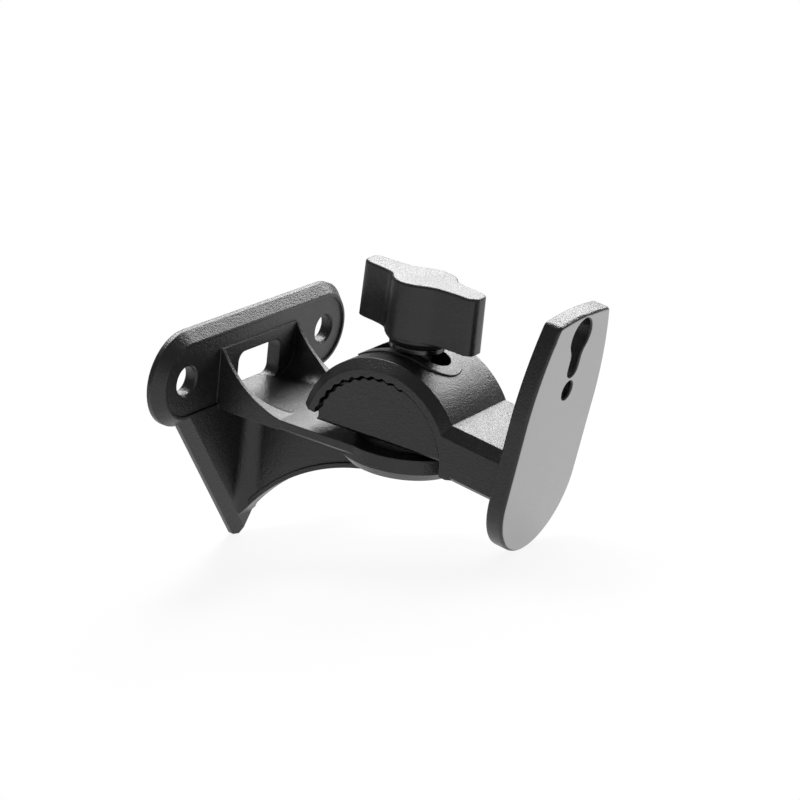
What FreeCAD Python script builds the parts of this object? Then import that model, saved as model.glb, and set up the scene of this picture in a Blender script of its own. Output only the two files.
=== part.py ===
import FreeCAD, Part
import math
import os

V = FreeCAD.Vector
os.makedirs("parts", exist_ok=True)

# Speaker wall bracket. Millimetres. The origin lies on the wall, midway between the two
# wall screws. +Z is up, X runs along the wall and +Y points into it, so the arm reaches
# out along -Y.

# Wall plate
PLATE_WIDTH = 85.0
BAR_HALF_HEIGHT = 12.85
TRIANGLE_HALF_ANGLE = 35.8
TIP_DROP = 53.1
TIP_RADIUS = 1.9
PLATE_DEPTH = 4.0
PLATE_SQUARE_EDGE = 1.3
PLATE_BEVEL = 2.5
PANEL_HALF_HEIGHT = 9.6
PANEL_RECESS = 0.5
BACK_HOLLOW = 1.4
BACK_RIM = 1.9
BOSS_RADIUS = 6.8
SCREW_SPACING = 61.2
SCREW_HOLE_RADIUS = 3.9
SCREW_EDGE_BREAK = 0.4
WINDOW_HALF_WIDTH = 9.35
WINDOW_TOP = 2.7
WINDOW_CORNER = 2.6

# Shelf, gussets and central web. A hollow is how deep a curved edge dips behind the
# straight line between its ends
ROOT_DEPTH = 1.0
SHELF_TOP = -8.1
SHELF_THICKNESS = 2.8
SHELF_HALF_WIDTH = 17.0
SHELF_EDGE_BREAK = 0.7
GUSSET_TOP = 5.6
GUSSET_REACH = 23.5
GUSSET_HOLLOW = 2.5
GUSSET_THICKNESS = 1.1
TROUGH_FILLET = 6.0
WEB_FOOT_Z = -45.8
WEB_NOSE_Z = -19.9
WEB_REACH = 44.5
WEB_HOLLOW = 5.2
WEB_LIP_HALF = 2.3
WEB_PANEL_HALF = 1.6
WEB_LIP_WIDTH = 1.3
WEB_ROOT_FILLET = 4.5

# Swivel disc and the clamp bolt's axis
BOLT_Y = -51.5
DISC_RADIUS = 17.7
DISC_SIDE = 3.9
DISC_CHAMFER = 2.6

# Tilt drum: its axis runs along X, and the arm's outer end droops by TILT
DRUM_Z = -8.6
TILT = 7.2
SHELL_RADIUS = 23.7
SHELL_HALF_WIDTH = 15.6
SHELL_BEVEL = 2.4
SHELL_REAR_EDGE = 2.7
SLOT_HALF_WIDTH = 4.15
SLOT_FRONT_ANGLE = -6.5
SLOT_REAR_ANGLE = 30.0
PAD_HEIGHT = 0.4
PAD_MARGIN = 3.2

# Toothed ring inside each end of the shell, and the half-moon core that it grips
RING_WIDTH = 3.6
RING_TIP_RADIUS = 19.1
TOOTH_HEIGHT = 0.5
TOOTH_GAP = 0.3
RING_RELIEF = 0.3
TEETH_PER_TURN = 40
TOOTH_PHASE = 7.1
TOOTH_COUNT = 11
CORE_INSET = 0.8
CORE_FLOOR = -5.8
CORE_EDGE_BREAK = 0.8
NECK_RADIUS = 12.8

# Arm block and speaker plate, measured from the drum's axis before the arm is tilted
ARM_TOP = 14.9
ARM_BOTTOM = 1.8
ARM_TOP_CHAMFER = 2.6
ARM_BOTTOM_CHAMFER = 1.2
SPEAKER_FACE = 39.8
SPEAKER_THICKNESS = 4.8
SPEAKER_HEIGHT = 65.0
SPEAKER_TOP = 50.9
SPEAKER_HALF_WIDTH = 17.5
SPEAKER_TOP_HALF_WIDTH = 12.4
SPEAKER_ARCH = 0.9
SPEAKER_SHOULDER = 25.5
SPEAKER_SIDE_BOW = 1.1
SPEAKER_CORNER = 1.6
SPEAKER_FRONT_FILLET = 0.9
SPEAKER_BACK_FILLET = 0.6
KEYHOLE_LOBE_RADIUS = 4.6
KEYHOLE_LOBE_Z = 45.1
KEYHOLE_NECK_HALF_WIDTH = 2.4
KEYHOLE_NECK_FOOT = 34.2
KEYHOLE_BLEND = 5.0
KEYHOLE_EDGE = 0.4
SPEAKER_HOLE_RADIUS = 2.4
SPEAKER_HOLE_Z = 30.5
SPEAKER_HOLE_EDGE = 0.4

# Bolt, washer, knob and insert
BOLT_RADIUS = 4.0
BOLT_CLEARANCE = 0.1
HEX_ACROSS_FLATS = 13.0
HEX_HEIGHT = 5.3
HEX_CLEARANCE = 0.15
HEX_FACE_INSET = 0.3
HEX_CORNER_ANGLE = 30.0
POCKET_DEPTH = 4.0
BOLT_SHORT_OF_INSERT = 0.85
BOLT_POINT_CHAMFER = 0.8
WASHER_RADIUS = 7.2
WASHER_GAP = 0.25
WASHER_THICKNESS = 1.6
WASHER_EDGE_BREAK = 0.25
KNOB_COLLAR_HEIGHT = 2.25
KNOB_WING_HEIGHT = 14.7
KNOB_HUB_RADIUS = 8.4
KNOB_COLLAR_RADIUS = 7.2
KNOB_HUB_BEVEL = 1.5
KNOB_DRAFT = 0.35
KNOB_TOP_FILLET = 0.7
INSERT_RADIUS = 5.6
INSERT_LENGTH = 12.0
INSERT_WAIST_DEPTH = 0.6
THREAD_CLEARANCE = 0.08

# Half of the knob's outline from above: hub, hollow, one swept wing and the way back to
# the hub. The other half is the same, turned round the bolt
WING_OUTLINE = [(8.3, 0.2), (7.4, 3.2), (6.2, 5.6), (5.6, 8.2), (5.6, 11.0), (5.9, 14.6), (6.0, 17.0),
                (5.3, 18.1), (2.8, 18.5), (0.3, 18.0), (-0.6, 16.9), (-1.4, 14.2), (-2.3, 10.6),
                (-3.6, 7.9), (-6.2, 5.8)]

# A cutting tool runs OVER past the face that it cuts; FAR is beyond every face
OVER = 1.0
FAR = 80.0

END_X = PLATE_WIDTH / 2.0 - BAR_HALF_HEIGHT
ROOT_Y = -PLATE_DEPTH + ROOT_DEPTH
SHELF_BOTTOM = SHELF_TOP - SHELF_THICKNESS
DISC_BOTTOM = SHELF_TOP - DISC_SIDE - DISC_CHAMFER
SHELL_BORE = RING_TIP_RADIUS + TOOTH_HEIGHT
CORE_TIP_RADIUS = RING_TIP_RADIUS - TOOTH_GAP
CORE_ROOT_RADIUS = CORE_TIP_RADIUS - TOOTH_HEIGHT
CORE_HALF_WIDTH = SHELL_HALF_WIDTH - CORE_INSET
PAD_RADIUS = SHELL_RADIUS + PAD_HEIGHT
WASHER_FOOT = DRUM_Z + PAD_RADIUS + WASHER_GAP
WASHER_TOP = WASHER_FOOT + WASHER_THICKNESS
KNOB_WING_FOOT = WASHER_TOP + KNOB_COLLAR_HEIGHT
KNOB_TOP = KNOB_WING_FOOT + KNOB_WING_HEIGHT
INSERT_TOP = WASHER_TOP + INSERT_LENGTH
BOLT_TOP = INSERT_TOP - BOLT_SHORT_OF_INSERT


def on_wall(y):
    """Place (x, z) outline points on the plane at this y."""
    return lambda x, z: V(x, y, z)


def on_side(x):
    """Place (y, z) outline points on the plane at this x."""
    return lambda y, z: V(x, y, z)


def outline(place, start, *steps):
    """Closed wire. A step (x, y) is a line, a step (mid, end) of two points is an arc."""
    here = place(*start)
    first = here
    edges = []
    for step in steps:
        if isinstance(step[0], tuple):
            middle, end = place(*step[0]), place(*step[1])
            edges.append(Part.Arc(here, middle, end).toShape())
        else:
            end = place(*step)
            edges.append(Part.makeLine(here, end))
        here = end
    if here.distanceToPoint(first) > 1e-6:
        edges.append(Part.makeLine(here, first))
    return Part.Wire(edges)


def prism(wire, x=0.0, y=0.0, z=0.0):
    return Part.Face(wire).extrude(V(x, y, z))


def box(x0, x1, y0, y1, z0, z1):
    return Part.makeBox(x1 - x0, y1 - y0, z1 - z0, V(x0, y0, z0))


def rod(radius, z0, z1, x=0.0, y=BOLT_Y):
    return Part.makeCylinder(radius, z1 - z0, V(x, y, z0))


def turned(points, x=0.0, y=BOLT_Y):
    """Solid of revolution about a vertical axis from (radius, z) points."""
    wire = outline(lambda r, z: V(x + r, y, z), points[0], *points[1:])
    return Part.Face(wire).revolve(V(x, y, 0), V(0, 0, 1), 360)


def hexagon(across_flats, z0, z1):
    """Hexagonal prism on the bolt's axis with two flats square to Y."""
    reach = across_flats / math.sqrt(3.0)
    corners = [(reach * math.cos(math.radians(60 * i)),
                BOLT_Y + reach * math.sin(math.radians(60 * i))) for i in range(6)]
    return prism(outline(lambda x, y: V(x, y, z0), *corners), z=z1 - z0)


def stadium(radius, y, half_length=END_X):
    return outline(on_wall(y), (-half_length, radius), (half_length, radius),
                   ((half_length + radius, 0.0), (half_length, -radius)), (-half_length, -radius),
                   ((-half_length - radius, 0.0), (-half_length, radius)))


# Wall bracket, moulded in one piece

def bowed(start, end, rise):
    """Middle of an arc that rises this far to the left of the line from start to end."""
    along, up = end[0] - start[0], end[1] - start[1]
    length = math.hypot(along, up)
    return ((start[0] + end[0]) / 2.0 - rise * up / length,
            (start[1] + end[1]) / 2.0 + rise * along / length)


def triangle(inset, y):
    """Downward triangle of the wall plate, its sides moved in by the inset."""
    slope = math.radians(TRIANGLE_HALF_ANGLE)
    tip = -TIP_DROP + TIP_RADIUS - (TIP_RADIUS - inset) / math.sin(slope)
    top = -BAR_HALF_HEIGHT / 2.0
    half = (top - tip) * math.tan(slope)
    return outline(on_wall(y), (-half, top), (half, top), (0.0, tip))


def tapered(shape_at):
    """Plate with a square edge at the wall and a bevel up to the front face."""
    square = prism(shape_at(0.0, 0.0), y=-PLATE_SQUARE_EDGE)
    bevel = Part.makeLoft([shape_at(0.0, -PLATE_SQUARE_EDGE),
                           shape_at(PLATE_BEVEL, -PLATE_DEPTH)], True, True)
    return square.fuse(bevel)


def tip_rounding():
    """Material outside the rounded tip."""
    centre_z = -TIP_DROP + TIP_RADIUS
    waist = centre_z - TIP_RADIUS * math.sin(math.radians(TRIANGLE_HALF_ANGLE))
    corner = box(-FAR, FAR, -FAR, FAR, -FAR, waist)
    round_tip = Part.makeCylinder(TIP_RADIUS, 2 * FAR, V(0, FAR, centre_z), V(0, -1, 0))
    return corner.cut(round_tip)


def window(y0, y1, margin=0.0):
    x = WINDOW_HALF_WIDTH + margin
    hole = box(-x, x, y0, y1, SHELF_TOP - margin, WINDOW_TOP + margin)
    upright = [e for e in hole.Edges if abs(e.Vertexes[0].Y - e.Vertexes[-1].Y) > 1.0]
    return hole.makeFillet(WINDOW_CORNER, upright)


def screw_hole(x):
    """Straight hole with a small break where it meets the recessed panel."""
    front = -(PLATE_DEPTH - PANEL_RECESS)
    hole = Part.makeCylinder(SCREW_HOLE_RADIUS, FAR, V(x, OVER, 0), V(0, -1, 0))
    mouth = Part.makeCone(SCREW_HOLE_RADIUS, SCREW_HOLE_RADIUS + 2 * SCREW_EDGE_BREAK,
                          2 * SCREW_EDGE_BREAK, V(x, front + SCREW_EDGE_BREAK, 0), V(0, -1, 0))
    return hole.fuse(mouth)


def wall_plate():
    """Bar and triangle with a recessed front panel, hollowed behind but for rim and bosses."""
    plate = tapered(lambda inset, y: stadium(BAR_HALF_HEIGHT - inset, y))
    plate = plate.fuse(tapered(triangle)).cut(tip_rounding())
    panel = prism(stadium(PANEL_HALF_HEIGHT, -PLATE_DEPTH - OVER), y=OVER + PANEL_RECESS)
    hollow = prism(stadium(BAR_HALF_HEIGHT - BACK_RIM, OVER), y=-OVER - BACK_HOLLOW)
    hollow = hollow.fuse(prism(triangle(BACK_RIM, OVER), y=-OVER - BACK_HOLLOW))
    for side in (-1, 1):
        boss_x = side * SCREW_SPACING / 2.0
        hollow = hollow.cut(Part.makeCylinder(BOSS_RADIUS, 2 * FAR, V(boss_x, FAR, 0), V(0, -1, 0)))
    hollow = hollow.cut(window(-FAR, FAR, BACK_RIM))
    return plate.cut(panel).cut(hollow)


def gussets():
    """Two curved side walls joined by a rounded trough to the shelf."""
    head = (-PLATE_DEPTH, GUSSET_TOP)
    toe = (-GUSSET_REACH, SHELF_TOP)
    side = outline(on_side(-SHELF_HALF_WIDTH), (ROOT_Y, GUSSET_TOP), head,
                   (bowed(head, toe, GUSSET_HOLLOW), toe),
                   (-GUSSET_REACH, SHELF_BOTTOM), (ROOT_Y, SHELF_BOTTOM))
    blank = prism(side, x=2 * SHELF_HALF_WIDTH)
    half = SHELF_HALF_WIDTH - GUSSET_THICKNESS
    trough = box(-half, half, -FAR, -PLATE_DEPTH, SHELF_TOP, FAR)
    lower = [e for e in trough.Edges
             if abs(e.CenterOfMass.z - SHELF_TOP) < 1e-6 and abs(abs(e.CenterOfMass.x) - half) < 1e-6]
    return blank.cut(trough.makeFillet(TROUGH_FILLET, lower))


def shelf():
    slab = box(-SHELF_HALF_WIDTH, SHELF_HALF_WIDTH, BOLT_Y, ROOT_Y, SHELF_BOTTOM, SHELF_TOP)
    lower = [e for e in slab.Edges if abs(e.CenterOfMass.z - SHELF_BOTTOM) < 1e-6
             and abs(abs(e.CenterOfMass.x) - SHELF_HALF_WIDTH) < 1e-6]
    return slab.makeChamfer(SHELF_EDGE_BREAK, lower)


def disc():
    return turned([(0.0, SHELF_TOP), (DISC_RADIUS, SHELF_TOP), (DISC_RADIUS, SHELF_TOP - DISC_SIDE),
                   (DISC_RADIUS - DISC_CHAMFER, DISC_BOTTOM), (0.0, DISC_BOTTOM)])


def web():
    """Central web: thin panel with a thicker lip along its concave lower edge."""
    nose, foot = (-WEB_REACH, WEB_NOSE_Z), (-PLATE_DEPTH, WEB_FOOT_Z)
    middle = bowed(nose, foot, WEB_HOLLOW)
    arc = Part.Arc(V(0, *nose), V(0, *middle), V(0, *foot)).toShape().Curve

    def below(grow):
        start = V(-FAR, arc.Center.y, arc.Center.z)
        return Part.makeCylinder(arc.Radius + grow, 2 * FAR, start, V(1, 0, 0))

    def blank(half):
        top = SHELF_TOP - OVER
        region = outline(on_side(-half), (ROOT_Y, top), (ROOT_Y, WEB_FOOT_Z - OVER),
                         (-WEB_REACH, WEB_NOSE_Z - OVER), (-WEB_REACH, top))
        return prism(region, x=2 * half)

    lip = blank(WEB_LIP_HALF).cut(below(0.0)).common(below(WEB_LIP_WIDTH))
    panel = blank(WEB_PANEL_HALF).fuse(web_root()).cut(below(0.0))
    return panel.fuse(lip)


def web_root():
    """Rounded flare from the plate's front face into the web."""
    half = WEB_PANEL_HALF
    reach = half + WEB_ROOT_FILLET
    front = -PLATE_DEPTH - WEB_ROOT_FILLET
    bend = WEB_ROOT_FILLET * (1.0 - math.sqrt(0.5))
    flare = outline(lambda x, y: V(x, y, -FAR), (-reach, ROOT_Y), (-reach, -PLATE_DEPTH),
                    ((-half - bend, -PLATE_DEPTH - bend), (-half, front)), (half, front),
                    ((half + bend, -PLATE_DEPTH - bend), (reach, -PLATE_DEPTH)), (reach, ROOT_Y))
    flare = prism(flare, z=FAR + SHELF_TOP - OVER)
    return flare.common(prism(triangle(PLATE_BEVEL, ROOT_Y), y=front - ROOT_Y))


def bolt_pocket():
    below = DISC_BOTTOM - OVER
    socket = hexagon(HEX_ACROSS_FLATS + 2 * HEX_CLEARANCE, below, DISC_BOTTOM + POCKET_DEPTH)
    return socket.fuse(rod(BOLT_RADIUS + BOLT_CLEARANCE, below, SHELF_TOP + OVER))


def wall_bracket():
    body = wall_plate().fuse([gussets(), shelf(), disc(), web()])
    body = body.cut(window(-PLATE_DEPTH - OVER, OVER)).cut(bolt_pocket())
    for side in (-1, 1):
        body = body.cut(screw_hole(side * SCREW_SPACING / 2.0))
    return body.removeSplitter()


# Drum parts are drawn about the origin with the drum's axis along X, then moved to the drum

def tooth_ring(outer, inner, x0, x1, smooth):
    """Bar along X whose round has shallow waves over the toothed arc and is smooth elsewhere.

    outer is the radius at the wave's hollow seen from the ring, inner at its crest.
    """
    pitch = 360.0 / TEETH_PER_TURN
    start = TOOTH_PHASE - pitch / 2.0
    points = []
    for i in range(2 * TOOTH_COUNT + 1):
        angle = math.radians(start + i * pitch / 2.0)
        radius = outer if i % 2 == 0 else inner
        points.append(V(x0, radius * math.cos(angle), radius * math.sin(angle)))
    wave = Part.BSplineCurve()
    wave.interpolate(points)
    first, last = points[0], points[-1]
    begin = math.atan2(first.z, first.y)
    end = math.atan2(last.z, last.y)

    def at(angle):
        return V(x0, smooth * math.cos(angle), smooth * math.sin(angle))

    middle = (end + begin + 2 * math.pi) / 2.0
    rest = Part.Arc(at(end), at(middle), at(begin)).toShape()
    steps = [Part.makeLine(a, b) for a, b in ((last, at(end)), (at(begin), first))
             if a.distanceToPoint(b) > 1e-6]
    wire = Part.Wire(Part.sortEdges([wave.toShape(), rest] + steps)[0])
    return prism(wire, x=x1 - x0)


def to_drum(shape, tilt=0.0):
    moved = shape.copy()
    moved.rotate(V(0, 0, 0), V(1, 0, 0), tilt)
    moved.translate(V(0, BOLT_Y, DRUM_Z))
    return moved


def drum_outside(radius, bevel):
    half = SHELL_HALF_WIDTH
    wire = outline(lambda x, r: V(x, 0, r), (-half, 0.0), (-half, radius - bevel),
                   (-half + bevel, radius), (half - bevel, radius), (half, radius - bevel), (half, 0.0))
    return Part.Face(wire).revolve(V(0, 0, 0), V(1, 0, 0), 360)


def slot_tool(half):
    """Radial slot through the shell's top, round at both ends."""
    ends = [math.radians(SLOT_FRONT_ANGLE), math.radians(SLOT_REAR_ANGLE)]
    far = FAR / 2.0

    def at(radius, angle):
        return radius * math.sin(angle), radius * math.cos(angle)

    tools = [Part.makeCylinder(half, far - OVER, V(0, *at(OVER, a)), V(0, *at(1.0, a))) for a in ends]
    wedge = outline(on_side(-half), at(OVER, ends[0]), at(far, ends[0]),
                    (at(far, sum(ends) / 2.0), at(far, ends[1])), at(OVER, ends[1]))
    return tools[0].fuse([tools[1], prism(wedge, x=2 * half)])


def arm_block():
    """Block from the shell to the speaker plate, chamfered along its four long edges."""
    half = SHELL_HALF_WIDTH
    top, foot = ARM_TOP_CHAMFER, ARM_BOTTOM_CHAMFER
    section = outline(on_wall(0.0), (-half + foot, ARM_BOTTOM), (half - foot, ARM_BOTTOM),
                      (half, ARM_BOTTOM + foot), (half, ARM_TOP - top), (half - top, ARM_TOP),
                      (-half + top, ARM_TOP), (-half, ARM_TOP - top), (-half, ARM_BOTTOM + foot))
    return prism(section, y=-(SPEAKER_FACE - SPEAKER_THICKNESS / 2.0))


def speaker_outline(y):
    """Slightly arched top, bowed shoulders, straight flanks and a half-round foot."""
    half = SPEAKER_HALF_WIDTH
    foot = SPEAKER_TOP - SPEAKER_HEIGHT
    left = (-SPEAKER_TOP_HALF_WIDTH, SPEAKER_TOP - SPEAKER_ARCH)
    right = (SPEAKER_TOP_HALF_WIDTH, SPEAKER_TOP - SPEAKER_ARCH)
    waist_left, waist_right = (-half, SPEAKER_SHOULDER), (half, SPEAKER_SHOULDER)
    return outline(on_wall(y), left, (bowed(left, right, SPEAKER_ARCH), right),
                   (bowed(right, waist_right, SPEAKER_SIDE_BOW), waist_right), (half, foot + half),
                   ((0.0, foot), (-half, foot + half)), waist_left,
                   (bowed(waist_left, left, SPEAKER_SIDE_BOW), left))


def keyhole(grow, y):
    """Round lobe over a narrow slot with blended shoulders."""
    radius = KEYHOLE_LOBE_RADIUS + grow
    half = KEYHOLE_NECK_HALF_WIDTH + grow
    blend = KEYHOLE_BLEND - grow
    foot = KEYHOLE_NECK_FOOT + KEYHOLE_NECK_HALF_WIDTH
    drop = math.sqrt((radius + blend) ** 2 - (half + blend) ** 2)
    neck = KEYHOLE_LOBE_Z - drop
    share = radius / (radius + blend)
    lobe_x, lobe_z = (half + blend) * share, KEYHOLE_LOBE_Z - drop * share
    turn = math.atan2(drop, half + blend) / 2.0
    mid_x = half + blend - blend * math.cos(turn)
    mid_z = neck + blend * math.sin(turn)
    return outline(on_wall(y), (-half, foot), (-half, neck), ((-mid_x, mid_z), (-lobe_x, lobe_z)),
                   ((0.0, KEYHOLE_LOBE_Z + radius), (lobe_x, lobe_z)),
                   ((mid_x, mid_z), (half, neck)), (half, foot), ((0.0, foot - half), (-half, foot)))


def edges_at(shape, y):
    return [e for e in shape.Edges if abs(e.CenterOfMass.y - y) < 1e-6]


def speaker_plate():
    face = -SPEAKER_FACE
    back = face + SPEAKER_THICKNESS
    plate = prism(speaker_outline(face), y=SPEAKER_THICKNESS)
    corners = [e for e in edges_at(plate, (face + back) / 2.0)
               if e.CenterOfMass.z > SPEAKER_TOP - SPEAKER_ARCH - 1e-6]
    plate = plate.makeFillet(SPEAKER_CORNER, corners)
    plate = plate.makeFillet(SPEAKER_FRONT_FILLET, edges_at(plate, face))
    plate = plate.makeFillet(SPEAKER_BACK_FILLET, edges_at(plate, back))
    through = prism(keyhole(0.0, face - OVER), y=SPEAKER_THICKNESS + 2 * OVER)
    mouth = Part.makeLoft([keyhole(KEYHOLE_EDGE, face), keyhole(0.0, face + KEYHOLE_EDGE)], True, True)
    hole = Part.makeCylinder(SPEAKER_HOLE_RADIUS, SPEAKER_THICKNESS + 2 * OVER,
                             V(0, face - OVER, SPEAKER_HOLE_Z), V(0, 1, 0))
    rim = Part.makeCone(SPEAKER_HOLE_RADIUS + SPEAKER_HOLE_EDGE, SPEAKER_HOLE_RADIUS, SPEAKER_HOLE_EDGE,
                        V(0, face, SPEAKER_HOLE_Z), V(0, 1, 0))
    return plate.cut(through).cut(mouth).cut(hole).cut(rim)


def speaker_arm():
    shell = drum_outside(SHELL_RADIUS, SHELL_BEVEL)
    pad = slot_tool(SLOT_HALF_WIDTH + PAD_MARGIN)
    pad = pad.common(Part.makeCylinder(PAD_RADIUS, 2 * FAR, V(-FAR, 0, 0), V(1, 0, 0)))
    shell = shell.fuse(pad)
    shell = shell.cut(box(-FAR, FAR, 0.0, FAR, -FAR, SHELL_REAR_EDGE))
    shell = shell.cut(box(-FAR, FAR, -FAR, 0.0, -FAR, ARM_BOTTOM))
    body = shell.fuse([arm_block(), speaker_plate()])
    inner = SHELL_HALF_WIDTH - RING_WIDTH
    body = body.cut(Part.makeCylinder(SHELL_BORE, 2 * inner, V(-inner, 0, 0), V(1, 0, 0)))
    teeth = tooth_ring(SHELL_BORE, RING_TIP_RADIUS, -SHELL_HALF_WIDTH - OVER,
                       SHELL_HALF_WIDTH + OVER, RING_TIP_RADIUS + RING_RELIEF)
    body = body.cut(teeth).cut(slot_tool(SLOT_HALF_WIDTH))
    return to_drum(body.removeSplitter(), TILT)


def swivel_core():
    """Half-moon with waves on its round, standing on a neck, bored for the bolt."""
    body = tooth_ring(CORE_TIP_RADIUS, CORE_ROOT_RADIUS, -CORE_HALF_WIDTH, CORE_HALF_WIDTH,
                      CORE_TIP_RADIUS)
    body = to_drum(body, TILT)
    body = body.cut(box(-FAR, FAR, -2 * FAR, FAR, -FAR, CORE_FLOOR))
    under = [e for e in body.Edges if abs(e.CenterOfMass.z - CORE_FLOOR) < 1e-6
             and abs(abs(e.CenterOfMass.x) - CORE_HALF_WIDTH) < 1e-6]
    body = body.makeChamfer(CORE_EDGE_BREAK, under)
    body = body.fuse(rod(NECK_RADIUS, SHELF_TOP, CORE_FLOOR + OVER))
    body = body.cut(rod(BOLT_RADIUS + BOLT_CLEARANCE, SHELF_TOP - OVER, FAR))
    return body.removeSplitter()


# Clamp hardware on the bolt's axis

def clamp_bolt():
    """Hexagon head with cut corners and a plain shank; the head hangs in its pocket."""
    seat = DISC_BOTTOM + POCKET_DEPTH
    foot = seat - HEX_HEIGHT
    face = HEX_ACROSS_FLATS / 2.0 - HEX_FACE_INSET
    rise = (HEX_ACROSS_FLATS - face) * math.tan(math.radians(HEX_CORNER_ANGLE))
    cone = turned([(0.0, foot), (face, foot), (HEX_ACROSS_FLATS, foot + rise),
                   (HEX_ACROSS_FLATS, seat + OVER), (0.0, seat + OVER)])
    point = BOLT_RADIUS - BOLT_POINT_CHAMFER
    shank = turned([(0.0, seat - OVER), (BOLT_RADIUS, seat - OVER),
                    (BOLT_RADIUS, BOLT_TOP - BOLT_POINT_CHAMFER), (point, BOLT_TOP), (0.0, BOLT_TOP)])
    return hexagon(HEX_ACROSS_FLATS, foot, seat).common(cone).fuse(shank).removeSplitter()


def knob_washer():
    edge = WASHER_EDGE_BREAK
    bore = BOLT_RADIUS + BOLT_CLEARANCE
    return turned([(bore, WASHER_FOOT), (WASHER_RADIUS - edge, WASHER_FOOT),
                   (WASHER_RADIUS, WASHER_FOOT + edge), (WASHER_RADIUS, WASHER_TOP - edge),
                   (WASHER_RADIUS - edge, WASHER_TOP), (bore, WASHER_TOP)])


def insert_profile():
    """Radius and height points of the insert's outside, with a waist that locks it in."""
    third = INSERT_LENGTH / 3.0
    waist = INSERT_RADIUS - INSERT_WAIST_DEPTH
    return [(INSERT_RADIUS, WASHER_TOP), (INSERT_RADIUS, WASHER_TOP + third),
            (waist, WASHER_TOP + third + INSERT_WAIST_DEPTH),
            (waist, INSERT_TOP - third - INSERT_WAIST_DEPTH), (INSERT_RADIUS, INSERT_TOP - third),
            (INSERT_RADIUS, INSERT_TOP)]


def knob_insert():
    bore = BOLT_RADIUS + THREAD_CLEARANCE
    return turned([(bore, WASHER_TOP)] + insert_profile() + [(bore, INSERT_TOP)])


def knob_plan(grow, z):
    """Two swept wings round a hub, drawn as one smooth closed curve."""
    points = []
    for sign in (1.0, -1.0):
        for x, y in WING_OUTLINE:
            scale = sign * (1.0 + grow / math.hypot(x, y))
            points.append(V(x * scale, BOLT_Y + y * scale, z))
    curve = Part.BSplineCurve()
    curve.interpolate(points, PeriodicFlag=True)
    return Part.Wire([curve.toShape()])


def wing_knob():
    wings = Part.makeLoft([knob_plan(KNOB_DRAFT, KNOB_WING_FOOT), knob_plan(0.0, KNOB_TOP)], True, True)
    rim = [e for e in wings.Edges if abs(e.CenterOfMass.z - KNOB_TOP) < 1e-3]
    wings = wings.makeFillet(KNOB_TOP_FILLET, rim)
    hub = turned([(0.0, WASHER_TOP), (KNOB_COLLAR_RADIUS, WASHER_TOP),
                  (KNOB_HUB_RADIUS, WASHER_TOP + KNOB_HUB_BEVEL),
                  (KNOB_HUB_RADIUS, KNOB_WING_FOOT + OVER), (0.0, KNOB_WING_FOOT + OVER)])
    body = wings.fuse(hub)
    seat = turned([(0.0, WASHER_TOP - OVER), (INSERT_RADIUS, WASHER_TOP - OVER)] + insert_profile()
                  + [(0.0, INSERT_TOP)])
    return body.cut(seat).removeSplitter()


PIECES = {
    "wall_bracket": wall_bracket,
    "swivel_core": swivel_core,
    "speaker_arm": speaker_arm,
    "clamp_bolt": clamp_bolt,
    "knob_washer": knob_washer,
    "knob_insert": knob_insert,
    "wing_knob": wing_knob,
}

for name, make in PIECES.items():
    shape = make()
    print(name, len(shape.Solids), shape.isValid(), round(shape.Volume), shape.BoundBox)
    shape.exportStep("parts/" + name + ".step")
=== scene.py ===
import math

import bpy
from mathutils import Matrix, Vector

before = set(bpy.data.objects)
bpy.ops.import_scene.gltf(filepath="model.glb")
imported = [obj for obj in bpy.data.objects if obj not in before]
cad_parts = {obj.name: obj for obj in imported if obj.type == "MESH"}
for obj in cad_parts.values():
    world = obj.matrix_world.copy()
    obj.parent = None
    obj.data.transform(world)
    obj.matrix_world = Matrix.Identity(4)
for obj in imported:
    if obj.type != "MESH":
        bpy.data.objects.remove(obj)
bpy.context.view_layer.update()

# Camera: the photograph's own viewing angle, in millimetres and degrees
CAMERA_AZIMUTH = -59.51
CAMERA_ELEVATION = 20.72
CAMERA_ROLL = 6.62
CAMERA_DISTANCE = 600.0
CAMERA_ACROSS = 40.42
CAMERA_ALONG = -13.14
LENS = 101.8
SENSOR = 36.0

# The bracket stands on the wall plate's tip and the speaker plate's foot
TIP_AT_WALL = Vector((0.0, 0.0, -0.0531))
FOOT_OF_SPEAKER = Vector((0.0, -0.0888, -0.0275))

MM = 0.001

# The speaker plate's flat front: its distance from the tilt axis, and the arm's droop
TILT_AXIS = Vector((0.0, -0.0515, -0.0086))
ARM_DROOP = math.radians(7.2)
FACE_OUT = 0.0398
FACE_NORMAL = Vector((0.0, -math.cos(ARM_DROOP), -math.sin(ARM_DROOP)))
FACE_BLEND = (0.10, 0.04)

# Colour mixing sockets of Blender's mix node
MIX_FIRST = 6
MIX_SECOND = 7
MIX_RESULT = 2

# Fine grain of a textured moulding
PEBBLE_SOFTNESS = 0.6
SPECKLE_FINER = 2.3
WAVE_COARSER = 0.12
WAVE_SHARE = 0.8
TONE_RANGE = (0.35, 0.68)

# Wear: how sharp an edge has to be to rub, and the patches that break the rubbing up
EDGE_RANGE = (0.995, 0.93)
EDGE_SAMPLES = 6
RUB_PATCHES_PER_METRE = 260.0
RUB_PATCH_RANGE = (0.42, 0.66)
SMEAR_RANGE = (0.3, 0.72)
SMEAR_SHARE = 0.35
SMEAR_SMOOTHER = 0.04
SMEAR_ROUGHER = 0.05
RUB_POLISH = 0.12

# How far the finish rounds a moulded edge, in millimetres
MOULDED_EDGE = 0.35

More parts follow.
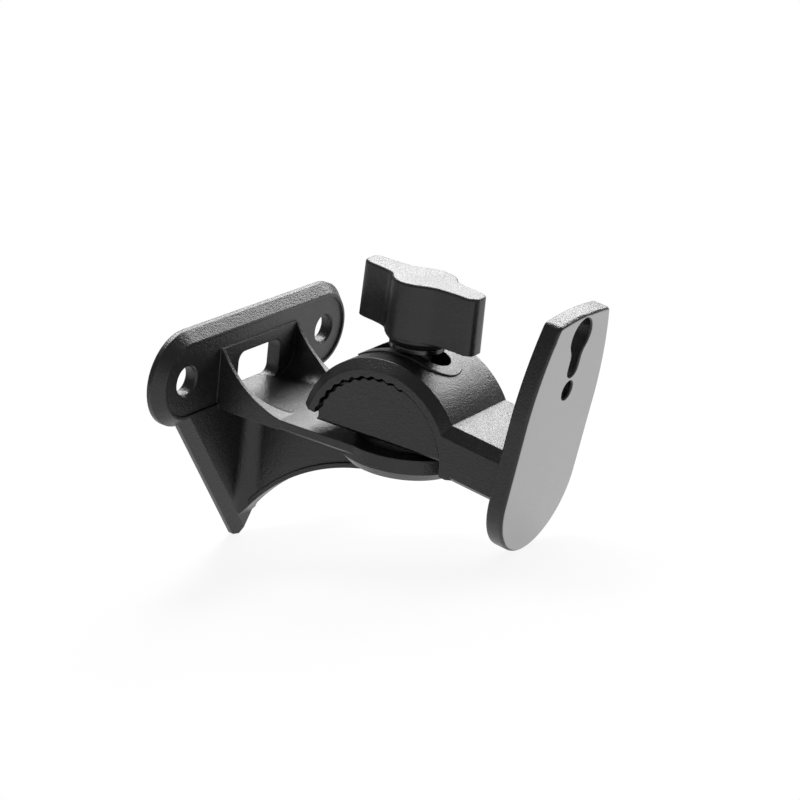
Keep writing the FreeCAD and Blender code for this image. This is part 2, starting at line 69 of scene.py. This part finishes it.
# Floor: tones, and how its own white takes over from shadow with the distance in metres
FLOOR_SIZE = 4.0
FLOOR_DROP = 0.0001
FLOOR_ROUGHNESS = 0.9
FLOOR_MOTTLE_PER_METRE = 40.0
FLOOR_DARK = (0.78, 0.78, 0.78)
FLOOR_LIGHT = (0.82, 0.82, 0.82)
SHADOW_REACH = (0.10, 0.26)
WHITE_SHARE = (0.90, 1.0)

# Light: each softbox's place, aim, size in metres and power in watts
ROOM_GLOW = 0.26
ROOM_AS_SEEN = 1.0
SOFTBOXES = {
    "softbox_right": ((0.78, 0.15, 0.50), (0.0, -0.06, 0.0), (0.9, 0.45), 11.0),
    "softbox_behind": ((0.30, 0.42, 0.72), (0.0, -0.05, 0.0), (0.35, 0.35), 7.0),
}


# Shader tools

def new_group(name, inputs, outputs):
    group = bpy.data.node_groups.new(name, "ShaderNodeTree")
    for label, kind, value in inputs:
        socket = group.interface.new_socket(name=label, in_out="INPUT", socket_type=kind)
        if value is not None:
            socket.default_value = value
    for label, kind in outputs:
        group.interface.new_socket(name=label, in_out="OUTPUT", socket_type=kind)
    nodes = group.nodes
    return group, nodes, group.links, nodes.new("NodeGroupInput"), nodes.new("NodeGroupOutput")


def maths(nodes, links, operation, first, second=None, clamp=False):
    node = nodes.new("ShaderNodeMath")
    node.operation = operation
    node.use_clamp = clamp
    for socket, value in zip(node.inputs, (first, second)):
        if value is None:
            continue
        if isinstance(value, (int, float)):
            socket.default_value = value
        else:
            links.new(value, socket)
    return node.outputs[0]


def noise(nodes, links, place, scale, detail=2.0, rough=0.5):
    node = nodes.new("ShaderNodeTexNoise")
    node.inputs["Detail"].default_value = detail
    node.inputs["Roughness"].default_value = rough
    links.new(place, node.inputs["Vector"])
    if isinstance(scale, (int, float)):
        node.inputs["Scale"].default_value = scale
    else:
        links.new(scale, node.inputs["Scale"])
    return node.outputs["Fac"]


def ramp(nodes, links, source, low, high, to_low=0.0, to_high=1.0):
    node = nodes.new("ShaderNodeMapRange")
    node.inputs["From Min"].default_value = low
    node.inputs["From Max"].default_value = high
    node.inputs["To Min"].default_value = to_low
    node.inputs["To Max"].default_value = to_high
    links.new(source, node.inputs["Value"])
    return node.outputs["Result"]


def make_grain_group():
    """Grain of a textured moulding: pebbles with finer speckle on them, over slow waves."""
    group, nodes, links, given, out = new_group(
        "finish_grain", [("Grains per metre", "NodeSocketFloat", 3200.0),
                         ("Speckle", "NodeSocketFloat", 0.35)],
        [("Height", "NodeSocketFloat"), ("Tone", "NodeSocketFloat")])
    where = nodes.new("ShaderNodeTexCoord").outputs["Object"]
    pebbles = nodes.new("ShaderNodeTexVoronoi")
    pebbles.feature = "SMOOTH_F1"
    pebbles.inputs["Smoothness"].default_value = PEBBLE_SOFTNESS
    links.new(where, pebbles.inputs["Vector"])
    links.new(given.outputs["Grains per metre"], pebbles.inputs["Scale"])
    finer = maths(nodes, links, "MULTIPLY", given.outputs["Grains per metre"], SPECKLE_FINER)
    speckle = noise(nodes, links, where, finer, 3.0, 0.6)
    waves = noise(nodes, links, where, maths(nodes, links, "MULTIPLY", finer, WAVE_COARSER))
    height = maths(nodes, links, "ADD", maths(nodes, links, "SUBTRACT", 1.0, pebbles.outputs["Distance"]),
                   maths(nodes, links, "MULTIPLY", speckle, given.outputs["Speckle"]))
    height = maths(nodes, links, "ADD", height, maths(nodes, links, "MULTIPLY", waves, WAVE_SHARE))
    links.new(height, out.inputs["Height"])
    links.new(ramp(nodes, links, speckle, *TONE_RANGE), out.inputs["Tone"])
    return group


def make_wear_group():
    """Mask of rubbed edges, broken up so that no edge wears evenly."""
    group, nodes, links, given, out = new_group(
        "edge_rub", [("Edge width", "NodeSocketFloat", 0.0004), ("Amount", "NodeSocketFloat", 0.5)],
        [("Rub", "NodeSocketFloat"), ("Normal", "NodeSocketVector")])
    soft = nodes.new("ShaderNodeBevel")
    soft.samples = EDGE_SAMPLES
    links.new(given.outputs["Edge width"], soft.inputs["Radius"])
    flat = nodes.new("ShaderNodeNewGeometry").outputs["Normal"]
    agree = nodes.new("ShaderNodeVectorMath")
    agree.operation = "DOT_PRODUCT"
    links.new(soft.outputs["Normal"], agree.inputs[0])
    links.new(flat, agree.inputs[1])
    edge = ramp(nodes, links, agree.outputs["Value"], *EDGE_RANGE)
    where = nodes.new("ShaderNodeTexCoord").outputs["Object"]
    patches = ramp(nodes, links, noise(nodes, links, where, RUB_PATCHES_PER_METRE, 4.0, 0.6),
                   *RUB_PATCH_RANGE)
    rub = maths(nodes, links, "MULTIPLY", maths(nodes, links, "MULTIPLY", edge, patches),
                given.outputs["Amount"], clamp=True)
    links.new(rub, out.inputs["Rub"])
    links.new(soft.outputs["Normal"], out.inputs["Normal"])
    return group


def make_handling_group():
    """Slow changes over a surface, as faint smears from handling."""
    group, nodes, links, given, out = new_group(
        "handling", [("Patch size", "NodeSocketFloat", 60.0)],
        [("Smear", "NodeSocketFloat")])
    where = nodes.new("ShaderNodeTexCoord").outputs["Object"]
    smear = noise(nodes, links, where, given.outputs["Patch size"], 5.0, 0.62)
    links.new(ramp(nodes, links, smear, *SMEAR_RANGE), out.inputs["Smear"])
    return group


GRAIN = make_grain_group()
EDGE_RUB = make_wear_group()
HANDLING = make_handling_group()


def place_group(tree, group, **values):
    node = tree.nodes.new("ShaderNodeGroup")
    node.node_tree = group
    for label, value in values.items():
        node.inputs[label.replace("_", " ")].default_value = value
    return node


def mix_colour(tree, mask, first, second):
    node = tree.nodes.new("ShaderNodeMix")
    node.data_type = "RGBA"
    tree.links.new(mask, node.inputs["Factor"])
    for socket, value in ((node.inputs[MIX_FIRST], first), (node.inputs[MIX_SECOND], second)):
        if isinstance(value, tuple):
            socket.default_value = value + (1.0,)
        else:
            tree.links.new(value, socket)
    return node.outputs[MIX_RESULT]


def flat_front_mask(tree):
    """1 on the speaker plate's flat front and 0 on the rest of the arm."""
    along = tree.nodes.new("ShaderNodeVectorMath")
    along.operation = "DOT_PRODUCT"
    along.inputs[1].default_value = FACE_NORMAL
    tree.links.new(tree.nodes.new("ShaderNodeTexCoord").outputs["Object"], along.inputs[0])
    face = FACE_NORMAL.dot(TILT_AXIS) + FACE_OUT
    return ramp(tree.nodes, tree.links, along.outputs["Value"], *(face - gap * MM for gap in FACE_BLEND))


def finish(name, dark, light, rubbed, rough, metallic=0.0, specular=0.5, grains=3200.0,
           bump=0.5, depth=0.03, rub=0.4, edge=MOULDED_EDGE):
    """Surface finish with grain, slow colour change and rubbed edges."""
    material = bpy.data.materials.new(name)
    material.use_nodes = True
    tree = material.node_tree
    shader = tree.nodes["Principled BSDF"]
    shader.inputs["Metallic"].default_value = metallic
    shader.inputs["Specular IOR Level"].default_value = specular
    grain = place_group(tree, GRAIN, Grains_per_metre=grains)
    worn = place_group(tree, EDGE_RUB, Edge_width=edge * MM, Amount=rub)
    touched = place_group(tree, HANDLING)
    colour = mix_colour(tree, grain.outputs["Tone"], dark, light)
    smear = maths(tree.nodes, tree.links, "MULTIPLY", touched.outputs["Smear"], SMEAR_SHARE)
    colour = mix_colour(tree, smear, colour, light)
    colour = mix_colour(tree, worn.outputs["Rub"], colour, rubbed)
    tree.links.new(colour, shader.inputs["Base Color"])
    gloss = ramp(tree.nodes, tree.links, touched.outputs["Smear"], 0.0, 1.0,
                 rough - SMEAR_SMOOTHER, rough + SMEAR_ROUGHER)
    polish = maths(tree.nodes, tree.links, "MULTIPLY", worn.outputs["Rub"], RUB_POLISH)
    gloss = maths(tree.nodes, tree.links, "SUBTRACT", gloss, polish)
    tree.links.new(gloss, shader.inputs["Roughness"])
    raised = tree.nodes.new("ShaderNodeBump")
    raised.inputs["Strength"].default_value = bump
    raised.inputs["Distance"].default_value = depth * MM
    tree.links.new(grain.outputs["Height"], raised.inputs["Height"])
    tree.links.new(worn.outputs["Normal"], raised.inputs["Normal"])
    tree.links.new(raised.outputs["Normal"], shader.inputs["Normal"])
    return material


def smooth_the_front(material, rough, coat_ior):
    """Leave the grain off the speaker plate's flat front and give it a satin sheen."""
    tree = material.node_tree
    shader = tree.nodes["Principled BSDF"]
    front = flat_front_mask(tree)
    tree.links.new(front, shader.inputs["Coat Weight"])
    bump = shader.inputs["Normal"].links[0].from_node
    grain = bump.inputs["Height"].links[0].from_socket
    grained = maths(tree.nodes, tree.links, "SUBTRACT", 1.0, front)
    tree.links.new(maths(tree.nodes, tree.links, "MULTIPLY", grain, grained), bump.inputs["Height"])
    shader.inputs["Coat Roughness"].default_value = rough
    shader.inputs["Coat IOR"].default_value = coat_ior
    rounded = tree.nodes.new("ShaderNodeBevel")
    rounded.samples = EDGE_SAMPLES
    rounded.inputs["Radius"].default_value = MOULDED_EDGE * MM
    tree.links.new(rounded.outputs["Normal"], shader.inputs["Coat Normal"])
    return material


def grained_black(name):
    return finish(name, (0.006, 0.006, 0.0062), (0.012, 0.012, 0.0123), (0.05, 0.05, 0.05),
                  rough=0.33, specular=0.55, grains=2700.0, bump=0.9, depth=0.08)


bracket_black = grained_black("grained_black_moulding")
arm_black = smooth_the_front(grained_black("grained_black_arm"), 0.26, 3.4)
black_moulding = finish("satin_black_moulding", (0.012, 0.012, 0.0125), (0.018, 0.018, 0.0185),
                        (0.07, 0.07, 0.07), rough=0.33, specular=0.5, grains=2600.0, bump=0.7,
                        depth=0.05, rub=0.2)
oiled_steel = finish("oiled_black_steel", (0.05, 0.05, 0.052), (0.09, 0.09, 0.092),
                     (0.35, 0.35, 0.35), rough=0.22, metallic=1.0, grains=2600.0, bump=0.15,
                     depth=0.01, rub=0.6, edge=0.2)
zinc_plate = finish("zinc_plated_steel", (0.52, 0.53, 0.55), (0.66, 0.67, 0.68),
                    (0.78, 0.78, 0.78), rough=0.30, metallic=1.0, grains=2600.0, bump=0.15,
                    depth=0.01, rub=0.5, edge=0.2)
turned_brass = finish("turned_brass", (0.66, 0.50, 0.22), (0.78, 0.60, 0.30),
                      (0.86, 0.70, 0.42), rough=0.28, metallic=1.0, grains=2200.0, bump=0.15,
                      depth=0.01, rub=0.4, edge=0.2)

FINISHES = {
    "wall_bracket": bracket_black,
    "swivel_core": bracket_black,
    "speaker_arm": arm_black,
    "wing_knob": black_moulding,
    "knob_washer": oiled_steel,
    "clamp_bolt": zinc_plate,
    "knob_insert": turned_brass,
}
for node_name, material in FINISHES.items():
    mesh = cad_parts[node_name].data
    mesh.materials.clear()
    mesh.materials.append(material)


# Floor, lights and camera

def pale_stage_material():
    """Pale floor that looks white to the camera and in gloss, and keeps the object's shadow."""
    material = bpy.data.materials.new("pale_floor")
    material.use_nodes = True
    tree = material.node_tree
    nodes, links = tree.nodes, tree.links
    shader = nodes["Principled BSDF"]
    shader.inputs["Roughness"].default_value = FLOOR_ROUGHNESS
    where = nodes.new("ShaderNodeTexCoord").outputs["Object"]
    tone = noise(nodes, links, where, FLOOR_MOTTLE_PER_METRE, 3.0)
    links.new(mix_colour(tree, tone, FLOOR_DARK, FLOOR_LIGHT), shader.inputs["Base Color"])
    white = nodes.new("ShaderNodeEmission")
    ray = nodes.new("ShaderNodeLightPath")
    seen = maths(nodes, links, "MAXIMUM", ray.outputs["Is Camera Ray"], ray.outputs["Is Glossy Ray"])
    seen = maths(nodes, links, "MAXIMUM", seen, ray.outputs["Is Transmission Ray"])
    reach = nodes.new("ShaderNodeVectorMath")
    reach.operation = "LENGTH"
    links.new(where, reach.inputs[0])
    clear = ramp(nodes, links, reach.outputs["Value"], *SHADOW_REACH, *WHITE_SHARE)
    share = maths(nodes, links, "MULTIPLY", seen, clear)
    mixed = nodes.new("ShaderNodeMixShader")
    links.new(share, mixed.inputs["Fac"])
    links.new(shader.outputs[0], mixed.inputs[1])
    links.new(white.outputs[0], mixed.inputs[2])
    links.new(mixed.outputs[0], nodes["Material Output"].inputs["Surface"])
    return material


def lay_floor():
    """Plane under the two lowest points, the plate's tip and the speaker plate's foot."""
    along = (TIP_AT_WALL - FOOT_OF_SPEAKER).normalized()
    across = Vector((1.0, 0.0, 0.0))
    up = across.cross(along)
    middle = (TIP_AT_WALL + FOOT_OF_SPEAKER) / 2.0 - up * FLOOR_DROP
    bpy.ops.object.select_all(action="DESELECT")
    bpy.ops.mesh.primitive_plane_add(size=FLOOR_SIZE)
    floor = bpy.context.object
    floor.name = "floor"
    turn = Matrix((across, along, up)).transposed().to_4x4()
    floor.data.transform(Matrix.Translation(middle) @ turn)
    floor.data.materials.append(pale_stage_material())


def lamp(name, place, aim, size, watts):
    light = bpy.data.lights.new(name, "AREA")
    light.shape = "RECTANGLE"
    light.size, light.size_y = size
    light.energy = watts
    holder = bpy.data.objects.new(name, light)
    bpy.context.scene.collection.objects.link(holder)
    away = (Vector(place) - Vector(aim)).normalized()
    holder.matrix_world = Matrix.Translation(place) @ away.to_track_quat("Z", "Y").to_matrix().to_4x4()


def light_the_room():
    world = bpy.data.worlds.new("white_room")
    bpy.context.scene.world = world
    world.use_nodes = True
    nodes, links = world.node_tree.nodes, world.node_tree.links
    base = nodes["Background"]
    base.inputs["Color"].default_value = (1.0, 1.0, 1.0, 1.0)
    ray = nodes.new("ShaderNodeLightPath")
    strength = ramp(nodes, links, ray.outputs["Is Camera Ray"], 0.0, 1.0, ROOM_GLOW, ROOM_AS_SEEN)
    links.new(strength, base.inputs["Strength"])
    for name, (place, aim, size, watts) in SOFTBOXES.items():
        lamp(name, place, aim, size, watts)


def set_camera():
    """Camera that looks at the origin from the photograph's side, shifted and rolled as it was."""
    a, e, r = (math.radians(v) for v in (CAMERA_AZIMUTH, CAMERA_ELEVATION, CAMERA_ROLL))
    back = Vector((math.sin(a) * math.cos(e), -math.cos(a) * math.cos(e), math.sin(e)))
    level = Vector((math.cos(a), math.sin(a), 0.0))
    right = level * math.cos(r) + back.cross(level) * math.sin(r)
    up = back.cross(right)
    place = (back * CAMERA_DISTANCE + right * CAMERA_ACROSS + up * CAMERA_ALONG) * MM
    data = bpy.data.cameras.new("camera")
    data.lens = LENS
    data.sensor_width = SENSOR
    data.clip_start = 0.01
    camera = bpy.data.objects.new("camera", data)
    bpy.context.scene.collection.objects.link(camera)
    camera.matrix_world = Matrix.Translation(place) @ Matrix((right, up, back)).transposed().to_4x4()
    bpy.context.scene.camera = camera


lay_floor()
light_the_room()
set_camera()
bpy.context.scene.view_settings.view_transform = "Standard"
